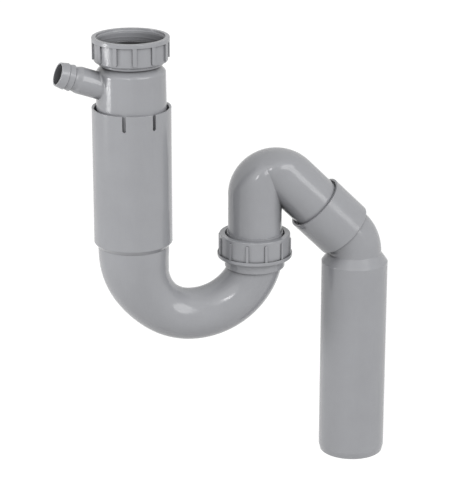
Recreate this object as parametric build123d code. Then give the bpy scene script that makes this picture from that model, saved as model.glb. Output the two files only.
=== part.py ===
from build123d import *
import os
from math import cos, radians, sin, sqrt, tan

# Height-adjustable tubular sink trap in grey polypropylene, in millimetres.
# Z is the inlet axis and points up, with z = 0 where the inlet nut's thread begins.
# The outlet leg lies towards +X, and the whole trap lies in the XZ plane.

# Standard sizes of the connections
thread_major = 47.8
pipe_radius = 20.0
outlet_radius = 25.0

# Walls and clearances
wall = 2.2
thin_wall = 1.8
seat_gap = 0.3
running_gap = 0.05
lip_gap = 0.1
thread_gap = 1.55
end_round_share = 0.45
overshoot = 1.0
match_tolerance = 0.01

# Inlet union nut
inlet_nut_height = 17.8
inlet_nut_wall = 2.75
inlet_nut_rim_proud = 1.35
inlet_nut_rim_height = 3.0
inlet_nut_mouth_flare = 0.95
inlet_nut_mouth_depth = 2.0
inlet_nut_recess_gap = 0.5
inlet_nut_lip = 3.2
inlet_nut_rib_width = 3.0
inlet_nut_rib_gap_below = 1.7
inlet_nut_rib_step = 0.15
inlet_nut_rib_turn = 26.9

# Lower union nut
lower_nut_height = 18.1
lower_nut_wall = 2.45
lower_nut_collar_proud = 1.5
lower_nut_collar_height = 3.2
lower_nut_hole_gap = 2.3
lower_nut_lip = 2.4
lower_nut_rib_proud = 1.0
lower_nut_rib_width = 2.1
lower_nut_rib_gap_above = 2.2
lower_nut_rib_turn = 5.9

# Both union nuts
ribs_per_nut = 12
rib_root = 1.0
nut_edge_round = 1.4
nut_top_round = 0.6

# Inlet body: flange, neck, bead, shoulder and telescopic tube
flange_thread_gap = 1.85
flange_thickness = 3.0
flange_proud = 1.2
neck_wall = 2.4
bead_proud = 2.4
bead_height = 2.5
shoulder_height = 4.2
shoulder_round = 3.0
telescope_gap = 1.4
telescope_taper = 0.5
telescope_taper_below_rim = 8.0
telescope_above_foot = 11.3
guide_gap = 0.2
guide_height = 3.0
guide_above_end = 27.0
seal_flank_gap = 0.4
seal_flank_height = 2.0
seal_groove_height = 5.5
seal_groove_depth = 1.0
seal_groove_above_end = 6.0

# Hose nozzle on the inlet body
nozzle_below_nut = 25.2
nozzle_rise = 20.0
nozzle_turn = 188.4
nozzle_length = 57.7
nozzle_bore = 7.5
nozzle_mouth_wall = 1.15
nozzle_land_wall = 1.35
nozzle_barb_proud = 0.85
nozzle_root_wall = 2.3
nozzle_first_barb = 5.6
nozzle_second_barb = 3.9
nozzle_barb_step = 0.7
nozzle_land = 1.6
nozzle_flare = 3.5
nozzle_fillet = 1.6

# Gasket in the inlet nut
gasket_thickness = 2.2
gasket_overlap = 1.5

# Seals
seal_band_gap = 0.9
seal_lip_height = 1.4

# U-bend: sleeve, leg, bend and right-hand socket
rim_below_nozzle = 9.0
sleeve_length = 101.3
sleeve_radius = 28.8
sleeve_rim_chamfer = 0.6
sleeve_foot_height = 3.5
leg_radius = 26.0
leg_straight = 7.6
slit_width = 2.6
slit_length = 11.7
tongue_angle = 45.0
tongue_turn = 2.5
nib_reach = 1.0
nib_height = 2.0
nib_ramp_share = 0.4
nib_below_rim = 5.5
nib_margin = 6.0
leg_spacing = 91.4
bend_shift = 1.5
bend_overreach = 4.0
bend_tube_radius = 19.3
heel_stations = ((15, 0.1, 0.84), (30, -0.9, 0.60), (45, -1.5, 0.33), (60, -1.0, 0.11), (75, -0.3, 0.0))
heel_end_angle = 85.0
heel_depth = 43.0
bend_end_angle = 352.0
bend_bore_short = 2.0
socket_wall = 2.1
socket_below_bend = 15.1
socket_floor = 1.6
socket_round = 1.2
socket_top_below_nut = 6.0
socket_seat_depth = 4.5
socket_seat_flare = 1.3
nut_above_bend = 10.9

# Slip ring and wedge seal under the lower nut
slip_flange_thickness = 1.4
slip_flange_gap = 0.55
slip_neck_wall = 0.85
slip_neck_proud = 1.0
wedge_flange_inset = 0.3
wedge_flange_thickness = 1.3

# Upper bend
neck_bend_radius = 15.7
neck_crown_centre = 4.3
neck_straight = 28.0
neck_slope = 45.0
neck_end_gap = 3.8
pipe_chamfer = 0.8

# Outlet elbow
elbow_offset = 77.2
elbow_socket_start = 26.4
elbow_socket_length = 32.9
elbow_socket_stop = 6.5
elbow_socket_wall = 2.6
elbow_socket_round = 1.2
elbow_mouth_flare = 1.0
elbow_mouth_depth = 2.5
elbow_lip_height = 1.2
elbow_groove_depth = 1.5
elbow_groove_height = 5.0
elbow_bend_radius = 21.0
elbow_cone_below_neck = 48.4
elbow_cone_height = 6.9
cone_inset = 0.8
outlet_length = 160.4
outlet_chamfer = 1.0
outlet_chamfer_height = 4.5
outlet_wall = 2.2

# Radii worked out from the inlet thread outwards and inwards
nut_thread_radius = thread_major / 2 + running_gap
inlet_nut_body_radius = nut_thread_radius + inlet_nut_wall
inlet_nut_rim_radius = inlet_nut_body_radius + inlet_nut_rim_proud
inlet_nut_mouth_radius = nut_thread_radius + inlet_nut_mouth_flare
flange_radius = nut_thread_radius - flange_thread_gap
inlet_nut_recess_radius = flange_radius + inlet_nut_recess_gap
neck_radius = flange_radius - flange_proud
bead_radius = neck_radius + bead_proud
flange_bore = neck_radius - neck_wall
gasket_inner_radius = flange_bore - gasket_overlap

# Radii worked out from the sleeve inwards
sleeve_bore = sleeve_radius - thin_wall
leg_bore = leg_radius - wall
telescope_radius = sleeve_bore - telescope_gap
shoulder_radius = telescope_radius - telescope_taper
guide_radius = sleeve_bore - guide_gap
seal_flank_radius = sleeve_bore - seal_flank_gap
telescope_seal_band = sleeve_bore - seal_band_gap

# Radii worked out from the 40 mm pipe outwards
pipe_bore = pipe_radius - thin_wall
socket_bore = pipe_radius + seat_gap
socket_radius = socket_bore + socket_wall
socket_seat_radius = socket_bore + socket_seat_flare
lower_thread_radius = socket_radius + thread_gap
lower_nut_body_radius = lower_thread_radius + lower_nut_wall
lower_nut_collar_radius = lower_nut_body_radius + lower_nut_collar_proud
lower_nut_rib_radius = lower_nut_body_radius + lower_nut_rib_proud
lower_nut_hole_radius = pipe_radius + lower_nut_hole_gap
slip_flange_radius = lower_thread_radius - slip_flange_gap
slip_neck_radius = pipe_radius + slip_neck_wall
wedge_flange_radius = socket_radius - wedge_flange_inset
elbow_socket_radius = socket_bore + elbow_socket_wall
elbow_mouth_radius = socket_bore + elbow_mouth_flare
elbow_groove_radius = socket_bore + elbow_groove_depth

# Radii worked out from the nozzle's bore outwards
nozzle_mouth_radius = nozzle_bore + nozzle_mouth_wall
nozzle_land_radius = nozzle_bore + nozzle_land_wall
nozzle_barb_radius = nozzle_land_radius + nozzle_barb_proud
nozzle_root_radius = nozzle_bore + nozzle_root_wall

# Heights worked out from the inlet nut downwards
inlet_nut_bottom = inlet_nut_mouth_depth - inlet_nut_height
flange_top = inlet_nut_bottom + inlet_nut_lip + seat_gap + flange_thickness
inlet_nut_thread_end = flange_top + gasket_thickness + lip_gap
nozzle_axis_height = inlet_nut_bottom - nozzle_below_nut
sleeve_top = nozzle_axis_height - rim_below_nozzle
telescope_taper_end = sleeve_top - telescope_taper_below_rim
sleeve_bottom = sleeve_top - sleeve_length
telescope_end = sleeve_bottom + telescope_above_foot
sleeve_foot = sleeve_bottom - sleeve_foot_height
bend_centre_z = sleeve_foot - leg_straight
lower_nut_top = bend_centre_z + nut_above_bend
socket_top = lower_nut_top - socket_top_below_nut
socket_bottom = bend_centre_z - socket_below_bend
neck_bend_z = lower_nut_top + neck_straight
elbow_cone_start = neck_bend_z - elbow_cone_below_neck
outlet_end = elbow_cone_start - outlet_length

# Places across the trap, worked out from the legs' spacing
socket_axis = Pos(leg_spacing, 0, 0)
bend_centre_x = leg_spacing / 2 - bend_shift
bend_radius = leg_spacing / 2 + bend_overreach
neck_sloped_length = elbow_socket_start + elbow_socket_length - elbow_socket_stop - neck_end_gap


def turned(points):
    """Solid of revolution about Z from an outline of (radius, height) points."""
    outline = Polyline(*[(r, 0, z) for r, z in points], close=True)
    return revolve(make_face(outline), Axis.Z)


def ring(outer, inner, top, bottom):
    """Plain ring about Z."""
    return turned([(inner, bottom), (outer, bottom), (outer, top), (inner, top)])


def rod(radius, top, bottom):
    """Plain cylinder about Z."""
    return Pos(0, 0, bottom) * extrude(Circle(radius), top - bottom)


def round_edges(solid, radius, height):
    """The round edges of a turned solid at one radius and height."""
    found = []
    for edge in solid.edges().filter_by(GeomType.CIRCLE):
        near = abs(edge.arc_center.Z - height) < match_tolerance
        if near and abs(edge.radius - radius) < match_tolerance:
            found.append(edge)
    return found


def rib(width, inner, outer, top, bottom, round_top):
    """One upright grip rib towards +X, with a rounded end at its top or its foot."""
    height = top - bottom
    side = Rectangle(width, height)
    end = side.vertices().group_by(Axis.Y)[-1 if round_top else 0]
    side = fillet(end, width * end_round_share)
    bar = Plane.YZ.offset(inner) * Pos(0, (top + bottom) / 2, 0) * side
    bar = extrude(bar, outer - inner + rib_root, dir=(1, 0, 0))
    return bar & rod(outer, top + overshoot, bottom - overshoot)


def ribbed(body, turn, *rib_sizes):
    """The nut's body with its ring of ribs."""
    one = rib(*rib_sizes)
    for index in range(ribs_per_nut):
        body += Rot(0, 0, turn + index * 360 / ribs_per_nut) * one
    return body


def make_inlet_union_nut():
    """Union nut of the inlet: mouth, thread bore and the lip that holds the flange."""
    top = inlet_nut_mouth_depth
    bottom = inlet_nut_bottom
    rim_bottom = top - inlet_nut_rim_height
    lip_hole = neck_radius + seat_gap
    body = turned([
        (lip_hole, bottom),
        (inlet_nut_body_radius, bottom),
        (inlet_nut_body_radius, rim_bottom),
        (inlet_nut_rim_radius, rim_bottom),
        (inlet_nut_rim_radius, top),
        (inlet_nut_mouth_radius, top),
        (inlet_nut_mouth_radius, 0),
        (nut_thread_radius, 0),
        (nut_thread_radius, inlet_nut_thread_end),
        (inlet_nut_recess_radius, inlet_nut_thread_end),
        (inlet_nut_recess_radius, bottom + inlet_nut_lip),
        (lip_hole, bottom + inlet_nut_lip),
    ])
    body = fillet(round_edges(body, inlet_nut_body_radius, bottom), nut_edge_round)
    body = fillet(round_edges(body, inlet_nut_rim_radius, top), nut_top_round)
    return ribbed(
        body, inlet_nut_rib_turn, inlet_nut_rib_width, inlet_nut_body_radius - rib_root,
        inlet_nut_rim_radius - inlet_nut_rib_step, rim_bottom + rib_root,
        bottom + inlet_nut_rib_gap_below, False)


def make_lower_union_nut():
    """Union nut of the 40 mm joint: flat top with the pipe hole, thread bore, bottom collar."""
    bottom = lower_nut_top - lower_nut_height
    collar_top = bottom + lower_nut_collar_height
    body = turned([
        (lower_thread_radius, bottom),
        (lower_nut_collar_radius, bottom),
        (lower_nut_collar_radius, collar_top),
        (lower_nut_body_radius, collar_top),
        (lower_nut_body_radius, lower_nut_top),
        (lower_nut_hole_radius, lower_nut_top),
        (lower_nut_hole_radius, lower_nut_top - lower_nut_lip),
        (lower_thread_radius, lower_nut_top - lower_nut_lip),
    ])
    body = fillet(round_edges(body, lower_nut_collar_radius, bottom), nut_edge_round)
    body = fillet(round_edges(body, lower_nut_body_radius, lower_nut_top), nut_top_round)
    body = ribbed(
        body, lower_nut_rib_turn, lower_nut_rib_width, lower_nut_body_radius - rib_root,
        lower_nut_rib_radius, lower_nut_top - lower_nut_rib_gap_above, collar_top - rib_root, True)
    return socket_axis * body


def nozzle_frame():
    """Place on the inlet axis whose Z runs out along the hose nozzle."""
    return Pos(0, 0, nozzle_axis_height) * Rot(0, 0, nozzle_turn) * Rot(0, 90 - nozzle_rise, 0)


def make_nozzle():
    """Solid hose nozzle with two barbs, from the inlet axis out to its mouth."""
    first = nozzle_length - nozzle_first_barb
    second = first - nozzle_barb_step - nozzle_second_barb
    land = second - nozzle_barb_step - nozzle_land
    shape = turned([
        (0, 0),
        (nozzle_root_radius, 0),
        (nozzle_root_radius, land - nozzle_flare),
        (nozzle_land_radius, land),
        (nozzle_land_radius, second - nozzle_barb_step),
        (nozzle_barb_radius, second),
        (nozzle_land_radius, first - nozzle_barb_step),
        (nozzle_barb_radius, first),
        (nozzle_mouth_radius, nozzle_length),
        (0, nozzle_length),
    ])
    return nozzle_frame() * shape


def make_inlet_body():
    """Flange, neck, nut bead, shoulder and telescopic tube, with the hose nozzle."""
    end = telescope_end
    bead_top = inlet_nut_bottom - seat_gap
    bead_bottom = bead_top - bead_height
    shoulder_bottom = bead_bottom - shoulder_height - seat_gap
    body = turned([
        (0, end),
        (telescope_radius, end),
        (telescope_radius, telescope_taper_end),
        (shoulder_radius, shoulder_bottom),
        (neck_radius, bead_bottom - seat_gap),
        (neck_radius, bead_bottom),
        (bead_radius, bead_bottom),
        (bead_radius, bead_top),
        (neck_radius, bead_top),
        (neck_radius, flange_top - flange_thickness),
        (flange_radius, flange_top - flange_thickness),
        (flange_radius, flange_top),
        (0, flange_top),
    ])
    body = fillet(round_edges(body, shoulder_radius, shoulder_bottom), shoulder_round)
    bead = round_edges(body, bead_radius, bead_top) + round_edges(body, bead_radius, bead_bottom)
    body = fillet(bead, bead_height * end_round_share)

    joined = body + make_nozzle()
    root = []
    for edge in joined.edges():
        near = sqrt(edge.center().X ** 2 + edge.center().Y ** 2)
        if edge.geom_type == GeomType.BSPLINE and near < telescope_radius + overshoot:
            root.append(edge)
    body = fillet(root, nozzle_fillet)

    groove_low = end + seal_groove_above_end
    groove_high = groove_low + seal_groove_height
    flank_low = groove_low - seal_flank_height
    flank_high = groove_high + seal_flank_height
    guide_low = end + guide_above_end
    inside = telescope_radius - seal_groove_depth
    body += ring(seal_flank_radius, inside, groove_low, flank_low)
    body += ring(seal_flank_radius, inside, flank_high, groove_high)
    body += ring(guide_radius, inside, guide_low + guide_height, guide_low)
    body -= ring(seal_flank_radius, inside, groove_high, groove_low)

    tube_bore = telescope_radius - wall
    upper_bore = shoulder_radius - wall
    body -= turned([
        (0, end - overshoot),
        (tube_bore, end - overshoot),
        (tube_bore, telescope_taper_end),
        (upper_bore, shoulder_bottom - wall),
        (flange_bore, bead_bottom - wall),
        (flange_bore, flange_top + overshoot),
        (0, flange_top + overshoot),
    ])
    return body - nozzle_frame() * rod(nozzle_bore, nozzle_length + overshoot, 0)


def make_inlet_gasket():
    """Flat rubber gasket that lies on the flange inside the inlet nut."""
    bottom = flange_top
    return ring(flange_radius, gasket_inner_radius, bottom + gasket_thickness, bottom)


def make_telescope_seal():
    """Rubber ring in the tube's groove, with two lips that wipe the sleeve's bore."""
    floor = telescope_radius - seal_groove_depth
    low = telescope_end + seal_groove_above_end + lip_gap
    high = low + seal_groove_height - 2 * lip_gap
    lip = sleeve_bore - running_gap
    return turned([
        (floor + running_gap, low),
        (telescope_seal_band, low),
        (lip, low + seal_lip_height / 2),
        (telescope_seal_band, low + seal_lip_height),
        (telescope_seal_band, high - seal_lip_height),
        (lip, high - seal_lip_height / 2),
        (telescope_seal_band, high),
        (floor + running_gap, high),
    ])


def bend_section(angle, radius, reach):
    """Circle square to the U-bend's arc at one angle, its centre at a reach from the arc's."""
    place = Pos(bend_centre_x, 0, bend_centre_z) * Rot(0, -angle, 0) * Pos(reach, 0, 0)
    return place * Circle(radius)


def tapered_heel(inset):
    """Horn of the left leg: it narrows from the leg to the tube round the outside of the bend.

    A station gives its angle down from the level, how far its outer side stands out from the
    bend's outer arc, and its share of the step from the tube's radius to the leg's.
    """
    outer_reach = bend_radius + bend_tube_radius
    sections = [Pos(0, 0, sleeve_foot) * Circle(leg_radius - inset)]
    for angle, proud, share in heel_stations:
        radius = bend_tube_radius + (leg_radius - bend_tube_radius) * share
        sections.append(bend_section(180 + angle, radius - inset, outer_reach + proud - radius))
    sections.append(bend_section(180 + heel_end_angle, bend_tube_radius - inset, bend_radius))
    return loft(sections)


def straight_heel(inset):
    """Inner side of the left leg: it runs straight down onto the tube of the bend."""
    low = leg_radius - bend_tube_radius
    sections = [
        Pos(0, 0, sleeve_foot) * Circle(leg_radius - inset),
        Pos(low, 0, sleeve_foot - heel_depth) * Circle(bend_tube_radius - inset),
    ]
    return loft(sections)


def left_heel(inset):
    """Foot of the left leg: the straight inner side and the horn, joined into one solid."""
    horn = tapered_heel(inset)
    return straight_heel(inset) - horn + horn


def bend_arc(radius, end_angle):
    """Even tube of the U-bend, from the end of its taper up to the socket."""
    start = 180 + heel_end_angle
    section = bend_section(start, radius, bend_radius)
    axis = Axis((bend_centre_x, 0, bend_centre_z), (0, -1, 0))
    return revolve(section, axis, end_angle - start)


def make_u_bend():
    """Sleeve, left leg, bend and socket in one moulding."""
    sleeve = turned([
        (0, sleeve_foot),
        (leg_radius, sleeve_foot),
        (sleeve_radius, sleeve_bottom),
        (sleeve_radius, sleeve_top),
        (0, sleeve_top),
    ])
    socket = rod(socket_radius, socket_top, socket_bottom)
    socket = fillet(round_edges(socket, socket_radius, socket_bottom), socket_round)
    body = left_heel(0) + sleeve + bend_arc(bend_tube_radius, bend_end_angle)
    body += socket_axis * socket

    bore = turned([
        (0, sleeve_foot),
        (leg_bore, sleeve_foot),
        (sleeve_bore, sleeve_foot + sleeve_foot_height),
        (sleeve_bore, sleeve_top - sleeve_rim_chamfer),
        (sleeve_bore + sleeve_rim_chamfer, sleeve_top),
        (0, sleeve_top),
    ])
    body -= bore
    body -= left_heel(wall)
    body -= bend_arc(bend_tube_radius - wall, bend_end_angle - bend_bore_short)

    floor = socket_bottom + socket_floor
    seat = turned([
        (0, floor),
        (socket_bore, floor),
        (socket_bore, socket_top - socket_seat_depth),
        (socket_seat_radius, socket_top),
        (0, socket_top),
    ])
    body -= socket_axis * seat

    nib_low = sleeve_top - nib_below_rim - nib_height
    nib = turned([
        (sleeve_bore + nib_reach / 2, nib_low),
        (sleeve_bore - nib_reach, nib_low + nib_height * nib_ramp_share),
        (sleeve_bore - nib_reach, nib_low + nib_height * (1 - nib_ramp_share)),
        (sleeve_bore + nib_reach / 2, nib_low + nib_height),
    ])
    for side in (90, 270):
        tongue = side + tongue_turn
        sector_turn = (tongue_angle - nib_margin) / 2
        sector = Rot(0, 0, tongue) * make_face(Polyline(
            (0, 0), (2 * sleeve_radius, -2 * sleeve_radius * tan(radians(sector_turn))),
            (2 * sleeve_radius, 2 * sleeve_radius * tan(radians(sector_turn))), close=True))
        body += nib & extrude(Pos(0, 0, nib_low - overshoot) * sector, nib_height + 2 * overshoot)
        for turn in (-tongue_angle / 2, tongue_angle / 2):
            body -= Rot(0, 0, tongue + turn) * make_slit()
    return body


def make_slit():
    """Cutter for one slit of the sleeve's rim towards +X: open above, round below."""
    low = sleeve_top - slit_length + slit_width / 2
    high = sleeve_top + overshoot
    opening = Pos(0, (low + high) / 2) * Rectangle(slit_width, high - low)
    opening += Pos(0, low) * Circle(slit_width / 2)
    face = Plane.YZ.offset(sleeve_bore - nib_reach - overshoot) * opening
    return extrude(face, thin_wall + nib_reach + 2 * overshoot, dir=(1, 0, 0))


def make_slip_ring():
    """Thin ring that lets the nut turn without turning the wedge seal."""
    flange_high = lower_nut_top - lower_nut_lip - seat_gap
    flange_low = flange_high - slip_flange_thickness
    inner = pipe_radius + lip_gap
    return socket_axis * turned([
        (inner, flange_low),
        (slip_flange_radius, flange_low),
        (slip_flange_radius, flange_high),
        (slip_neck_radius, flange_high),
        (slip_neck_radius, lower_nut_top + slip_neck_proud),
        (inner, lower_nut_top + slip_neck_proud),
    ])


def make_lower_seal():
    """Rubber wedge between the socket's seat, the pipe and the slip ring."""
    flange_low = socket_top + seat_gap
    flange_high = flange_low + wedge_flange_thickness
    low = socket_top - socket_seat_depth + 2 * seat_gap
    inner = pipe_radius + running_gap
    return socket_axis * turned([
        (inner, low),
        (socket_bore - lip_gap, low),
        (socket_seat_radius - lip_gap, socket_top),
        (socket_seat_radius - lip_gap, flange_low),
        (wedge_flange_radius, flange_low),
        (wedge_flange_radius, flange_high),
        (inner, flange_high),
    ])


def slope_frame(distance):
    """Place on the sloping axis at a distance from the end of the bend, Z along the slope."""
    x = leg_spacing + neck_bend_radius + neck_bend_radius * cos(radians(neck_slope))
    z = neck_bend_z + neck_bend_radius * sin(radians(neck_slope))
    return Pos(x, 0, z) * Rot(0, 180 - neck_slope, 0) * Pos(0, 0, distance)


def swan_neck(radius, low, sloped):
    """Pipe body of one radius: two straight legs mitred at the bend, under a round crown."""
    pivot = Pos(leg_spacing + neck_bend_radius, 0, neck_bend_z) * Rot(0, -neck_slope / 2, 0)
    mitre = neck_bend_radius / sin(radians(neck_slope / 2))
    far = mitre + 2 * radius
    side = extrude(Rectangle(4 * far, 4 * far), 4 * far, dir=(0, 0, 1))
    upright = Pos(leg_spacing, 0, 0) * rod(radius, neck_bend_z + far, low)
    slope = slope_frame(-far) * rod(radius, far + sloped, 0)
    body = upright & pivot * Rot(0, -90, 0) * side
    body += slope & pivot * Rot(0, 90, 0) * side

    crown = neck_bend_radius + radius - neck_crown_centre
    disc = Pos(neck_crown_centre, 0) * Circle(crown) & Pos(2 * far, 0) * Rectangle(4 * far, 4 * far)
    sector = Pos(2 * far, 0) * Rectangle(4 * far, 4 * far)
    start = Pos(leg_spacing + neck_bend_radius, 0, neck_bend_z) * Rot(0, 0, 180)
    axis = Axis((leg_spacing + neck_bend_radius, 0, neck_bend_z), (0, 1, 0))
    return body - revolve(start * (sector - disc), axis, 180 - neck_slope)


def make_upper_bend():
    """The 40 mm swan neck from the U-bend's socket to the elbow's socket."""
    low = socket_bottom + socket_floor + seat_gap
    body = swan_neck(pipe_radius, low, neck_sloped_length)
    body -= swan_neck(pipe_bore, low - overshoot, neck_sloped_length + overshoot)
    chamfer_tool = turned([
        (pipe_radius - pipe_chamfer, 0),
        (pipe_radius + overshoot, 0),
        (pipe_radius + overshoot, pipe_chamfer + overshoot),
    ])
    body -= Pos(leg_spacing, 0, low) * chamfer_tool
    return body - slope_frame(neck_sloped_length) * Rot(180, 0, 0) * chamfer_tool


def elbow_body(tube, spigot, start, cone_top):
    """One skin of the elbow behind its socket: bend, cone and spigot, by their radii."""
    vertex = elbow_offset - neck_bend_radius * (1 + cos(radians(neck_slope)))
    vertex = vertex / sin(radians(neck_slope))
    tangent = elbow_bend_radius * tan(radians(neck_slope) / 2)
    low = slope_frame(vertex).position.Z - tangent
    axis_x = leg_spacing + elbow_offset
    axis = Axis((axis_x - elbow_bend_radius, 0, low), (0, 1, 0))
    section = Pos(axis_x, 0, low) * Circle(tube)
    bend = revolve(section, axis, -neck_slope)
    straight = slope_frame(start) * rod(tube, vertex - tangent - start, 0)
    foot = Pos(axis_x, 0, 0) * turned([
        (0, low),
        (tube, low),
        (tube, cone_top),
        (spigot, cone_top - elbow_cone_height),
        (spigot, outlet_end),
        (0, outlet_end),
    ])
    return bend + straight + foot


def make_outlet_elbow():
    """Socket with its seal groove, 45 degree bend, cone and long 50 mm spigot."""
    end = elbow_socket_start + elbow_socket_length
    stop = end - elbow_socket_stop
    body = elbow_body(pipe_radius, outlet_radius, stop, elbow_cone_start)
    socket = rod(elbow_socket_radius, elbow_socket_length, 0)
    socket = fillet(
        round_edges(socket, elbow_socket_radius, elbow_socket_length), elbow_socket_round)
    body += slope_frame(elbow_socket_start) * socket
    inner_cone = elbow_cone_start - cone_inset
    body -= elbow_body(pipe_bore, outlet_radius - outlet_wall, stop, inner_cone)

    depth = elbow_socket_length - elbow_socket_stop
    groove_start = elbow_mouth_depth + elbow_lip_height
    groove_end = groove_start + elbow_groove_height
    cut = turned([
        (0, 0),
        (elbow_mouth_radius, 0),
        (elbow_mouth_radius, elbow_mouth_depth),
        (socket_bore, elbow_mouth_depth),
        (socket_bore, groove_start),
        (elbow_groove_radius, groove_start),
        (elbow_groove_radius, groove_end),
        (socket_bore, groove_end),
        (socket_bore, depth),
        (0, depth),
    ])
    body -= slope_frame(elbow_socket_start) * cut

    edge_tool = turned([
        (outlet_radius - outlet_chamfer, outlet_end),
        (outlet_radius + overshoot, outlet_end),
        (outlet_radius + overshoot, outlet_end + outlet_chamfer_height),
        (outlet_radius, outlet_end + outlet_chamfer_height),
    ])
    return body - Pos(leg_spacing + elbow_offset, 0, 0) * edge_tool


def make_outlet_seal():
    """Rubber ring in the elbow's groove, with two lips that wipe the 40 mm pipe."""
    low = elbow_mouth_depth + elbow_lip_height + lip_gap
    high = low + elbow_groove_height - 2 * lip_gap
    outer = elbow_groove_radius - running_gap
    band = socket_bore + lip_gap
    lip = pipe_radius + running_gap
    return slope_frame(elbow_socket_start) * turned([
        (band, low),
        (outer, low),
        (outer, high),
        (band, high),
        (lip, high - seal_lip_height / 2),
        (band, high - seal_lip_height),
        (band, low + seal_lip_height),
        (lip, low + seal_lip_height / 2),
    ])


parts = {
    "inlet_union_nut": make_inlet_union_nut(),
    "inlet_gasket": make_inlet_gasket(),
    "inlet_body": make_inlet_body(),
    "telescope_seal": make_telescope_seal(),
    "u_bend": make_u_bend(),
    "lower_union_nut": make_lower_union_nut(),
    "slip_ring": make_slip_ring(),
    "lower_seal": make_lower_seal(),
    "upper_bend": make_upper_bend(),
    "outlet_seal": make_outlet_seal(),
    "outlet_elbow": make_outlet_elbow(),
}

os.makedirs("parts", exist_ok=True)
for name, shape in parts.items():
    export_step(shape, f"parts/{name}.step")
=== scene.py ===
from math import cos, pi, radians, sin, tan

import bmesh
import bpy
from mathutils import Matrix, Vector


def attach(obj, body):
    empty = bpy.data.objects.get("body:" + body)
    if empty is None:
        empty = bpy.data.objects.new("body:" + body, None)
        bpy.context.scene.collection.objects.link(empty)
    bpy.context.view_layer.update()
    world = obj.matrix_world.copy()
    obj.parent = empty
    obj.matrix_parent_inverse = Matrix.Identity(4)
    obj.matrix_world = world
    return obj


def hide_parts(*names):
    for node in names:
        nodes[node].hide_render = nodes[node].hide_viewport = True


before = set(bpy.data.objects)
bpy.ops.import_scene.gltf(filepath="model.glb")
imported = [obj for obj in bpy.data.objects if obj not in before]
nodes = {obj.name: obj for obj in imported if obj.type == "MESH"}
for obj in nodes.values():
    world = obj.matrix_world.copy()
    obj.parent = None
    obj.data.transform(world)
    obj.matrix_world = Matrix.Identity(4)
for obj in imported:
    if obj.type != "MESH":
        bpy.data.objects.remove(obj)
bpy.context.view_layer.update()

# Camera: it looks down on the trap from the front, a little to the left of the inlet tube.
# A long lens keeps the tubes nearly parallel, as in a catalogue picture.
camera_turn = radians(11.573)
camera_tilt = radians(18.745)
camera_reach = 1.47246
camera_aside = 0.06735
camera_height = 0.3464

camera_right = Vector((cos(camera_turn), -sin(camera_turn), 0))
camera_away = Vector((sin(camera_turn), cos(camera_turn), 0))
camera_forward = camera_away * cos(camera_tilt) - Vector((0, 0, sin(camera_tilt)))
camera_up = camera_right.cross(camera_forward)
camera_place = camera_right * camera_aside - camera_away * camera_reach
camera_place.z = camera_height


def add_object(name, data):
    """A new object in the scene that shows a mesh, a lamp or a camera."""
    made = bpy.data.objects.new(name, data)
    bpy.context.scene.collection.objects.link(made)
    return made


camera = add_object("camera", bpy.data.cameras.new("camera"))
camera.data.lens = 156.8
camera.data.clip_end = 50
turned_axes = Matrix((camera_right, camera_up, -camera_forward)).transposed()
camera.matrix_world = Matrix.Translation(camera_place) @ turned_axes.to_4x4()
bpy.context.scene.camera = camera


# Inlet union nut: injection-moulded grey polypropylene with twelve grip ribs, screwed by hand
# onto the sink waste. The CAD solid carries its shape, and the thread inside is wound here.
class Wire:
    """One output in a material's node tree; sums and products of wires add Math nodes."""

    def __init__(self, tree, socket=None):
        self.tree = tree
        self.socket = socket

    def node(self, kind, settings=None, inputs=None, output=0):
        """Adds a node, with its settings and with its inputs as values or wires."""
        made = self.tree.nodes.new(kind)
        for name, value in (settings or {}).items():
            setattr(made, name, value)
        for name, value in (inputs or {}).items():
            if isinstance(value, Wire):
                self.tree.links.new(value.socket, made.inputs[name])
            else:
                made.inputs[name].default_value = value
        return Wire(self.tree, made.outputs[output] if made.outputs else None)

    def maths(self, operation, first, second):
        return self.node("ShaderNodeMath", {"operation": operation}, {0: first, 1: second})

    def __add__(self, other):
        return self.maths("ADD", self, other)

    def __radd__(self, other):
        return self.maths("ADD", other, self)

    def __sub__(self, other):
        return self.maths("SUBTRACT", self, other)

    def __rsub__(self, other):
        return self.maths("SUBTRACT", other, self)

    def __mul__(self, other):
        return self.maths("MULTIPLY", self, other)

    def __rmul__(self, other):
        return self.maths("MULTIPLY", other, self)


def blank_material(name):
    """A material with an empty node tree, as a wire that new nodes are added from."""
    material = bpy.data.materials.new(name)
    material.use_nodes = True
    material.node_tree.nodes.clear()
    return material, Wire(material.node_tree)


def noise(wire, place, scale, detail, roughness):
    """Cloudy noise between nought and one; a greater scale makes it finer."""
    return wire.node("ShaderNodeTexNoise", inputs={
        "Vector": place, "Scale": scale, "Detail": detail, "Roughness": roughness})


def blend(wire, share, first, second):
    """The first colour where the share is nought, the second where it is one."""
    return wire.node("ShaderNodeMix", {"data_type": "RGBA"}, {
        0: share, 6: first, 7: second}, output=2)


def coat(wire, colour, roughness, bump, refraction):
    """Ends a material with its shader."""
    shader = wire.node("ShaderNodeBsdfPrincipled", inputs={
        "Base Color": colour, "Roughness": roughness, "Normal": bump, "IOR": refraction})
    wire.node("ShaderNodeOutputMaterial", inputs={"Surface": shader})


def swing(start, noises, shares):
    """A value that each noise moves to both sides of its start, by a share of its own."""
    for noise_wire, share in zip(noises, shares):
        start = start + (noise_wire - noise_middle) * share
    return start


noise_middle = 0.5
grey_dark = (0.340, 0.344, 0.362, 1)
grey_light = (0.385, 0.390, 0.410, 1)
# Painted shade: recesses, gaps and rims seen edge-on are painted towards this dark grey, by an
# ambient-occlusion reach, gain and start and a rim share.
painted_shade_grey = (0.065, 0.0656, 0.069, 1)
pigment_shares = (1.1, 0.5, 0.25)
gloss_shares = (0.08, 0.06, 0.05)
plastic_refraction = 1.49
painted_shade_reach = 0.03
painted_shade_gain = 1.4
painted_shade_start = 0.2
painted_rim_shade = 0.8
ripple_height = 0.00006
skin_height = 0.000006
draw_height = 0.000012
seam_half_width = 0.00012
seam_edge = 0.00030
edge_softness = 0.0004


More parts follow.
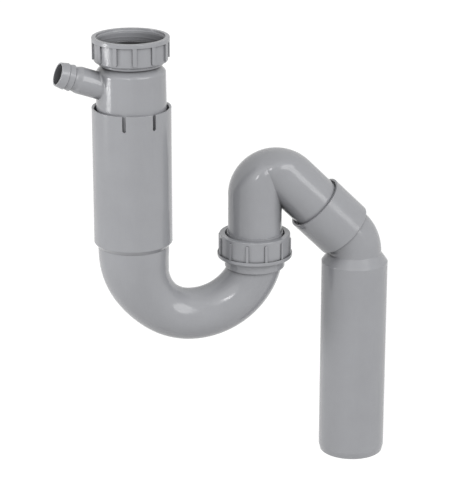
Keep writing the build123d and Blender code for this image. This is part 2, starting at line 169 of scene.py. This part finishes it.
def polypropylene(name, draw, gloss, seam_depth=0.0, shade_from_own_part_only=True):
    """Grey polypropylene: cloudy pigment, a faint draw of the mould and a fine satin skin, with
    painted shade in its recesses and on its rims seen edge-on.
    """
    material, wire = blank_material(name)
    place = wire.node("ShaderNodeTexCoord", output="Object")
    along = wire.node("ShaderNodeMapping", inputs={"Vector": place, "Scale": draw})
    cloud = noise(wire, place, scale=38, detail=5, roughness=0.6)
    draw_lines = noise(wire, along, scale=420, detail=3, roughness=0.55)
    skin = noise(wire, place, scale=1900, detail=2, roughness=0.5)
    ripple = noise(wire, place, scale=95, detail=1, roughness=0.4)
    unevenness = (cloud, skin, draw_lines)
    shade = swing(noise_middle, unevenness, pigment_shares)
    pigment = blend(wire, shade, grey_dark, grey_light)
    # Painted shade: an ambient-occlusion node darkens the colour in recesses, creases and gaps, and a
    # layer weight darkens the rims seen edge-on.
    openness_for_painted_shade = wire.node(
        "ShaderNodeAmbientOcclusion", {"samples": 8, "only_local": shade_from_own_part_only},
        {"Distance": painted_shade_reach}, output="AO")
    grazing_for_painted_shade = wire.node("ShaderNodeLayerWeight", inputs={"Blend": 0.5}, output="Facing")
    # The share of pigment kept; the painted recess shade and painted rim shade pull the rest to the
    # dark grey.
    unshaded_share = openness_for_painted_shade * painted_shade_gain - painted_shade_start - grazing_for_painted_shade * grazing_for_painted_shade * grazing_for_painted_shade * painted_rim_shade
    colour = blend(wire, unshaded_share, painted_shade_grey, pigment)
    roughness = swing(gloss, unevenness, gloss_shares)
    height = ripple * ripple_height + skin * skin_height + draw_lines * draw_height
    if seam_depth:
        across = wire.node("ShaderNodeSeparateXYZ", inputs={"Vector": place}, output="Y")
        offset = wire.node("ShaderNodeMath", {"operation": "ABSOLUTE"}, {0: across})
        seam = wire.node("ShaderNodeMapRange", {"interpolation_type": "SMOOTHSTEP"}, {
            "Value": offset, "From Min": seam_half_width, "From Max": seam_edge,
            "To Min": 1.0, "To Max": 0.0})
        height = height + seam * seam_depth
    edges = wire.node("ShaderNodeBevel", {"samples": 6}, {"Radius": edge_softness})
    bump = wire.node("ShaderNodeBump", inputs={
        "Strength": 1, "Distance": 1, "Height": height, "Normal": edges})
    coat(wire, colour, roughness, bump, plastic_refraction)
    return material


def dress(node, material):
    """Gives a CAD node its material."""
    for slot in nodes[node].material_slots:
        slot.material = material


thread_pitch = 0.002309
thread_sides = 160
rows_in_a_pitch = 12
crest_narrowing = 1.5


def screw_thread(name, axis_x, outline, crest, low, high, body, material):
    """A skin of (radius, height) outline about an upright axis, with a right-hand thread on it."""
    radii, heights = [], []
    for (from_radius, from_height), (to_radius, to_height) in zip(outline, outline[1:]):
        steps = max(1, round(abs(to_height - from_height) * rows_in_a_pitch / thread_pitch))
        for step in range(steps):
            share = step / steps
            radii.append(from_radius + (to_radius - from_radius) * share)
            heights.append(from_height + (to_height - from_height) * share)
    radii.append(outline[-1][0])
    heights.append(outline[-1][1])
    points = []
    for radius, height in zip(radii, heights):
        fade = min(1, max(0, (height - low) / thread_pitch), max(0, (high - height) / thread_pitch))
        for side in range(thread_sides):
            turn = side / thread_sides
            wave = 0.5 + 0.5 * cos(2 * pi * (height / thread_pitch - turn))
            reach = radius + crest * fade * wave ** crest_narrowing
            points.append((axis_x + reach * cos(2 * pi * turn), reach * sin(2 * pi * turn), height))
    inside = crest < 0
    faces = []
    for row in range(len(heights) - 1):
        low_row = row * thread_sides
        high_row = low_row + thread_sides
        for side in range(thread_sides):
            after = (side + 1) % thread_sides
            quad = (low_row + side, low_row + after, high_row + after, high_row + side)
            faces.append(quad if inside else quad[::-1])
    mesh = bpy.data.meshes.new(name)
    mesh.from_pydata(points, [], faces)
    mesh.materials.append(material)
    mesh.shade_smooth()
    thread = add_object(name, mesh)
    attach(thread, body)


nut_gloss = 0.24
inlet_thread_low = -0.0070
inlet_thread_high = -0.0026
nut_plastic = polypropylene("nut_polypropylene", draw=(1, 1, 1), gloss=nut_gloss)
# Painted shade on the nut threads counts the parts round them too, so the threads are painted darker
# where other parts stand close.
thread_plastic = polypropylene(
    "thread_polypropylene", draw=(1, 1, 1), gloss=nut_gloss, shade_from_own_part_only=False)
dress("inlet_union_nut", nut_plastic)
inlet_thread_outline = (
    (0.02488, 0.00195), (0.02470, 0.0006), (0.02385, -0.0008), (0.02385, inlet_thread_low))
screw_thread(
    "inlet_nut_thread", axis_x=0, outline=inlet_thread_outline, crest=-0.00014,
    low=inlet_thread_low, high=inlet_thread_high, body="inlet_nut", material=thread_plastic)


# Inlet gasket: a flat ring of black nitrile rubber, punched from sheet. It lies loose on the
# inlet body's flange, and the nut presses the sink waste down onto it.
rubber_dark = (0.010, 0.010, 0.011, 1)
rubber_light = (0.022, 0.022, 0.023, 1)
rubber_grain_share = 0.3
rubber_roughness = 0.55
patch_roughness = 0.15
grain_roughness = 0.10
rubber_grain_height = 0.00002
rubber_refraction = 1.52


def black_rubber(name, bloom):
    """Black rubber: matt, with a fine grain and a grey bloom in patches."""
    material, wire = blank_material(name)
    place = wire.node("ShaderNodeTexCoord", output="Object")
    patches = noise(wire, place, scale=120, detail=4, roughness=0.6)
    grain = noise(wire, place, scale=2400, detail=2, roughness=0.6)
    shade = patches * bloom + grain * rubber_grain_share
    colour = blend(wire, shade, rubber_dark, rubber_light)
    roughness = rubber_roughness + patches * patch_roughness + grain * grain_roughness
    bump = wire.node("ShaderNodeBump", inputs={
        "Strength": 1, "Distance": 1, "Height": (grain + patches) * rubber_grain_height})
    coat(wire, colour, roughness, bump, rubber_refraction)
    return material


dress("inlet_gasket", black_rubber("gasket_rubber", bloom=0.5))


# Inlet body: one polypropylene moulding of flange, neck, hose nozzle and long telescopic tube.
# The nut turns on its neck, and the tube slides in the U-bend's sleeve to set the height.
tube_plastic = polypropylene("tube_polypropylene", draw=(1, 1, 0.05), gloss=0.16)
dress("inlet_body", tube_plastic)


# Telescope seal: a moulded black rubber ring in the groove near the tube's lower end, whose two
# lips wipe the bore of the sleeve.
seal_rubber = black_rubber("seal_rubber", bloom=0.2)
dress("telescope_seal", seal_rubber)


# U-bend: one polypropylene moulding of the sleeve with its snap tongues, the wide leg, the bend
# and the threaded socket. Its mould's split line runs round it in the plane of the trap.
bend_plastic = polypropylene(
    "bend_polypropylene", draw=(1, 1, 0.2), gloss=0.15, seam_depth=0.00005)
dress("u_bend", bend_plastic)
leg_spacing = 0.0914
socket_thread_low = -0.1690
socket_thread_high = -0.1580
socket_thread_outline = (
    (0.02210, -0.15765), (0.02245, -0.1582), (0.02245, socket_thread_low))
screw_thread(
    "socket_thread", axis_x=leg_spacing, outline=socket_thread_outline, crest=0.0012,
    low=socket_thread_low, high=socket_thread_high, body="trap", material=bend_plastic)


# Wedge seal: a black rubber ring round the 40 mm pipe, which the lower nut presses into the
# tapered seat of the U-bend's socket.
dress("lower_seal", seal_rubber)


# Slip ring: a thin polypropylene ring between the wedge seal and the lower nut. It takes the
# nut's turning, so that the rubber under it stays still.
dress("slip_ring", nut_plastic)


# Lower union nut: moulded polypropylene with twelve slim ribs over a bottom collar, screwed
# down on the U-bend's socket to squeeze the wedge seal against the pipe.
dress("lower_union_nut", nut_plastic)
nut_thread_radius = 0.02390
nut_thread_low = -0.1695
nut_thread_high = -0.1560
nut_thread_outline = (
    (nut_thread_radius, nut_thread_high), (nut_thread_radius, nut_thread_low))
screw_thread(
    "lower_nut_thread", axis_x=leg_spacing, outline=nut_thread_outline, crest=-0.0002,
    low=nut_thread_low, high=nut_thread_high, body="clamp_nut", material=thread_plastic)


# Upper bend: the 40 mm swan neck, one polypropylene moulding. Two straight legs meet in a sharp
# crease on the inner side, and a soft-edged crown closes the outer side. It pushes into the
# U-bend's socket below and into the elbow above.
neck_plastic = polypropylene(
    "neck_polypropylene", draw=(1, 1, 0.3), gloss=0.14, seam_depth=0.00004)
neck_radius = 0.0200
neck_wall = 0.0018
neck_foot = -0.1756
neck_slope_length = 0.0490
neck_chamfer = 0.0008
pivot_reach = 0.0157
pivot_height = -0.1235
crown_centre = 0.0043
crown_softness = 0.014
mitre_angle = radians(67.5)
neck_sides = 96
fan_steps = 32
leg_ring_shares = (0.75, 0.5, 0.25, 0.08)
search_step = 0.0001
search_reach = 0.08
search_halvings = 30
smallest_length = 1e-9
crease_angle = radians(13)
joining_distance = 0.000001


def depth_inside(radius, aside, across, above):
    """How far a point lies under the neck's skin, the crown's edge rounded off softly."""
    off_axis = max(smallest_length, (aside ** 2 + across ** 2) ** 0.5)
    in_leg = radius - off_axis
    if above <= 0:
        return in_leg
    from_pivot = max(smallest_length, ((pivot_reach - aside) ** 2 + above ** 2) ** 0.5)
    crown = pivot_reach + radius - crown_centre
    off_crown = max(smallest_length, ((from_pivot - crown_centre) ** 2 + across ** 2) ** 0.5)
    in_crown = crown - off_crown
    outward = (from_pivot - crown_centre) / off_crown
    agree = (aside * outward * (aside - pivot_reach) / from_pivot
             + across * across / off_crown) / off_axis
    soft = max(smallest_length, crown_softness * (1 - agree))
    meet = max(0, soft - abs(in_leg - in_crown)) / soft
    return min(in_leg, in_crown) - meet * meet * soft / 4


def neck_fan(radius):
    """Rings from the square end of the upright leg to the mitre, all through the inner corner."""
    corner_height = (pivot_reach - radius) * tan(mitre_angle)

    def spot(tilt, along, across):
        return radius - along * cos(tilt), across, corner_height + along * sin(tilt)

    rings = []
    for step in range(fan_steps + 1):
        tilt = mitre_angle * step / fan_steps
        reach = 0.0
        while depth_inside(radius, *spot(tilt, reach, 0)) >= 0:
            reach += search_step
        middle = reach / 2
        ring = []
        for side in range(neck_sides):
            turn = 2 * pi * side / neck_sides
            near, far = 0.0, search_reach
            for _ in range(search_halvings):
                span = (near + far) / 2
                tried = spot(tilt, middle - span * cos(turn), span * sin(turn))
                if depth_inside(radius, *tried) > 0:
                    near = span
                else:
                    far = span
            ring.append(Vector(spot(tilt, middle - near * cos(turn), near * sin(turn))))
        rings.append(ring)
    return rings


def neck_skin(radius, chamfer):
    """All rings of one skin of the neck, from the foot in the socket to the sloping end."""
    fan = neck_fan(radius)
    level = fan[0][0].z
    pivot_spot = Vector((pivot_reach, 0, 0))
    mitre_normal = Vector((sin(mitre_angle), 0, cos(mitre_angle)))

    def straight(drop, inset):
        shrink = 1 - inset / radius
        return [Vector((point.x * shrink, point.y * shrink, level - drop)) for point in fan[0]]

    def leg(length):
        drops = [(length, chamfer), (length - chamfer, 0)] if chamfer else [(length, 0)]
        drops += [(length * share, 0) for share in leg_ring_shares]
        return [straight(drop, inset) for drop, inset in drops]

    def mirrored(ring):
        return [point - mitre_normal * (2 * (point - pivot_spot).dot(mitre_normal)) for point in ring]

    lower = leg(level - (neck_foot - pivot_height))
    upper = leg(level + neck_slope_length)
    return lower + fan + [mirrored(ring) for ring in (upper + fan[:-1])[::-1]]


neck_rings = neck_skin(neck_radius, neck_chamfer) + neck_skin(neck_radius - neck_wall, 0)[::-1]
neck_shape = bmesh.new()
neck_axis_spot = Vector((leg_spacing, 0, pivot_height))
neck_points = [[neck_shape.verts.new(point + neck_axis_spot) for point in ring]
               for ring in neck_rings]
for ring, after in zip(neck_points, neck_points[1:] + neck_points[:1]):
    for side in range(neck_sides):
        neck_shape.faces.new((ring[side], ring[side - 1], after[side - 1], after[side]))
bmesh.ops.remove_doubles(neck_shape, verts=neck_shape.verts, dist=joining_distance)
bmesh.ops.recalc_face_normals(neck_shape, faces=neck_shape.faces)
neck_mesh = bpy.data.meshes.new("swan_neck_pipe")
neck_shape.to_mesh(neck_mesh)
neck_shape.free()
neck_mesh.shade_smooth()
neck_mesh.set_sharp_from_angle(angle=crease_angle)
neck_mesh.materials.append(neck_plastic)
neck = add_object("swan_neck_pipe", neck_mesh)
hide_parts("upper_bend")
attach(neck, "swan_neck")


# Outlet seal: a black rubber lip ring, pressed into the groove of the elbow's mouth. Its lip
# closes round the swan neck's sloping end.
dress("outlet_seal", seal_rubber)


# Outlet elbow: one polypropylene moulding of push-fit socket, 45 degree bend, cone and the
# long plain 50 mm spigot that goes into the drain.
elbow_plastic = polypropylene(
    "elbow_polypropylene", draw=(1, 1, 0.1), gloss=0.17, seam_depth=0.00004)
dress("outlet_elbow", elbow_plastic)


# Studio: a white floor some way under the hanging trap, clear from below, and a white surround.
# Three broad soft lights and two tall strips stand in front, to the left and to the right.
def seen_rays(wire):
    """One where the camera, a reflection or a clear piece looks at the stage, else nought."""
    rays = wire.node("ShaderNodeLightPath").socket.node.outputs
    seen = Wire(wire.tree, rays["Is Camera Ray"]) + Wire(wire.tree, rays["Is Glossy Ray"])
    seen = seen + Wire(wire.tree, rays["Is Transmission Ray"])
    return wire.maths("MINIMUM", seen, 1)


floor_height = -0.48
floor_half = 8.0
glow_strength = 1.8
glow_share = 0.5
floor_white, floor_wire = blank_material("floor_white")
floor_paint = floor_wire.node("ShaderNodeBsdfDiffuse", inputs={"Color": (0.5, 0.5, 0.5, 1)})
floor_glow = floor_wire.node("ShaderNodeEmission", inputs={
    "Color": (1, 1, 1, 1), "Strength": glow_strength})
floor_mix = floor_wire.node("ShaderNodeMixShader", inputs={
    0: seen_rays(floor_wire) * glow_share, 1: floor_paint, 2: floor_glow})
floor_sides = floor_wire.node("ShaderNodeMixShader", inputs={
    0: floor_wire.node("ShaderNodeNewGeometry", output="Backfacing"), 1: floor_mix,
    2: floor_wire.node("ShaderNodeBsdfTransparent")})
floor_wire.node("ShaderNodeOutputMaterial", inputs={"Surface": floor_sides})
floor_mesh = bpy.data.meshes.new("floor")
floor_corners = ((-1, -1), (1, -1), (1, 1), (-1, 1))
floor_mesh.from_pydata(
    [(x * floor_half, y * floor_half, floor_height) for x, y in floor_corners], [], [(0, 1, 2, 3)])
floor_mesh.materials.append(floor_white)
floor = add_object("floor", floor_mesh)

surround = bpy.data.worlds.new("surround")
bpy.context.scene.world = surround
surround.use_nodes = True
surround.node_tree.nodes.clear()
sky_wire = Wire(surround.node_tree)
sky_level = 0.32
sky = sky_wire.node("ShaderNodeBackground", inputs={
    "Color": (1, 1, 1, 1), "Strength": sky_level + seen_rays(sky_wire) * (1 - sky_level)})
sky_wire.node("ShaderNodeOutputWorld", inputs={"Surface": sky})


sun_distance = 1.5
trap_middle = 0.06


def soft_sun(name, right, up, back, energy, width):
    """A distant lamp, by its direction as the camera sees it and the angle that it fills."""
    direction = camera_right * right + camera_up * up - camera_forward * back
    lamp = bpy.data.lights.new(name, "SUN")
    lamp.energy = energy
    lamp.angle = radians(width)
    holder = add_object(name, lamp)
    holder.location = direction.normalized() * sun_distance
    holder.rotation_mode = "QUATERNION"
    holder.rotation_quaternion = direction.to_track_quat("Z", "Y")


def strip_lamp(name, place, width, height, energy):
    """A tall soft box at a spot in the world, upright and turned towards the trap."""
    lamp = bpy.data.lights.new(name, "AREA")
    lamp.shape = "RECTANGLE"
    lamp.size = width
    lamp.size_y = height
    lamp.energy = energy
    away = Vector((place[0] - trap_middle, place[1], 0))
    holder = add_object(name, lamp)
    holder.location = place
    holder.rotation_mode = "QUATERNION"
    holder.rotation_quaternion = away.to_track_quat("Z", "Y")
    holder.visible_camera = False


soft_sun("right_box", right=0.66, up=0.20, back=0.72, energy=1.40, width=40)
soft_sun("left_fill", right=-0.30, up=0.30, back=0.90, energy=0.40, width=40)
soft_sun("top_light", right=0.30, up=0.60, back=0.74, energy=0.18, width=40)
strip_lamp("front_strip", (-0.40, -1.21, 0.38), width=0.11, height=0.42, energy=2.1)
strip_lamp("left_strip", (-1.0, -0.04, -0.075), width=0.28, height=0.40, energy=4.4)

bpy.context.scene.view_settings.view_transform = "Standard"
